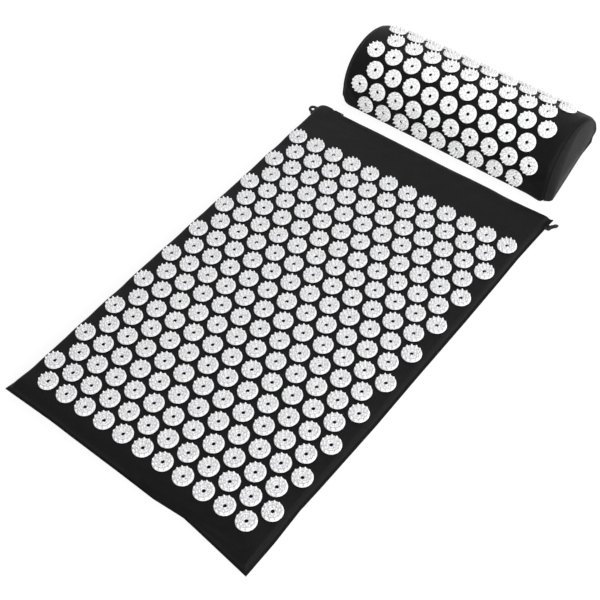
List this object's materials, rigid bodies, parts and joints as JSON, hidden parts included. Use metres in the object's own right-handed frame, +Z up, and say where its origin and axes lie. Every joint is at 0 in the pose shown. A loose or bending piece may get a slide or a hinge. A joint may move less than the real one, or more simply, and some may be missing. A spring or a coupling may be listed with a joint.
{
  "type": "acupressure mat with neck pillow",
  "caption": "Flat foam mat and half-round neck pillow in zipped black cloth covers, both set with staggered rows of round spiked plastic discs, with cord loops at the mat's head corners.",
  "frame": {"origin": "centre of the mat's underside", "axes": "+X across the mat, +Y along it to its head end and on to the pillow, +Z up"},
  "size_m": [0.4205, 0.83, 0.0905],
  "materials": {
    "foam": "open-cell foam",
    "cloth": "black cotton",
    "zip_tape": "woven tape",
    "zip_coil": "black nylon coil",
    "zip_metal": "black enamel",
    "cord": "braided cord",
    "disc": "white moulded plastic"
  },
  "bodies": {
    "mat": {"mat_foam": "foam", "mat_cover_top": "cloth", "mat_cover_bottom": "cloth", "mat_zip_tape_upper": "zip_tape", "mat_zip_tape_lower": "zip_tape", "mat_zip_coil_upper": "zip_coil", "mat_zip_coil_lower": "zip_coil", "mat_zip_stop_left": "zip_metal", "mat_zip_stop_right": "zip_metal", "mat_loop_left": "cord", "mat_loop_right": "cord", "mat_disc_row_01": "disc", "mat_disc_row_02": "disc", "mat_disc_row_03": "disc", "mat_disc_row_04": "disc", "mat_disc_row_05": "disc", "mat_disc_row_06": "disc", "mat_disc_row_07": "disc", "mat_disc_row_08": "disc", "mat_disc_row_09": "disc", "mat_disc_row_10": "disc", "mat_disc_row_11": "disc", "mat_disc_row_12": "disc", "mat_disc_row_13": "disc", "mat_disc_row_14": "disc", "mat_disc_row_15": "disc", "mat_disc_row_16": "disc", "mat_disc_row_17": "disc", "mat_disc_row_18": "disc", "mat_disc_row_19": "disc", "mat_disc_row_20": "disc"},
    "mat_zip_slider": {"mat_zip_slider": "zip_metal"},
    "mat_zip_pull": {"mat_zip_pull": "zip_metal"},
    "pillow": {"pillow_foam": "foam", "pillow_cover_top": "cloth", "pillow_cover_base": "cloth", "pillow_cover_end_left": "cloth", "pillow_cover_end_right": "cloth", "pillow_zip_tape_upper": "zip_tape", "pillow_zip_tape_lower": "zip_tape", "pillow_zip_coil_upper": "zip_coil", "pillow_zip_coil_lower": "zip_coil", "pillow_zip_stop_left": "zip_metal", "pillow_zip_stop_right": "zip_metal", "pillow_disc_row_1": "disc", "pillow_disc_row_2": "disc", "pillow_disc_row_3": "disc", "pillow_disc_row_4": "disc", "pillow_disc_row_5": "disc", "pillow_disc_row_6": "disc", "pillow_disc_row_7": "disc"},
    "pillow_zip_slider": {"pillow_zip_slider": "zip_metal"},
    "pillow_zip_pull": {"pillow_zip_pull": "zip_metal"}
  },
  "joints": [
    {"name": "mat_zip_slide", "type": "slide", "parent": "mat", "child": "mat_zip_slider", "axis": [1, 0, 0], "range_m": [0, 0.362]},
    {"name": "mat_zip_pull_swing", "type": "hinge", "parent": "mat_zip_slider", "child": "mat_zip_pull", "pos_m": [-0.1814, 0.3244, 0.0095], "axis": [0, 0, 1], "range_deg": [0, 120]},
    {"name": "pillow_lift", "type": "slide", "parent": "mat", "child": "pillow", "axis": [0, 0, 1], "range_m": [0, 0.25]},
    {"name": "pillow_zip_slide", "type": "slide", "parent": "pillow", "child": "pillow_zip_slider", "axis": [1, 0, 0], "range_m": [0, 0.302]},
    {"name": "pillow_zip_pull_swing", "type": "hinge", "parent": "pillow_zip_slider", "child": "pillow_zip_pull", "pos_m": [-0.1624, 0.5039, 0.0085], "axis": [0, 0, 1], "range_deg": [0, 120]}
  ]
}
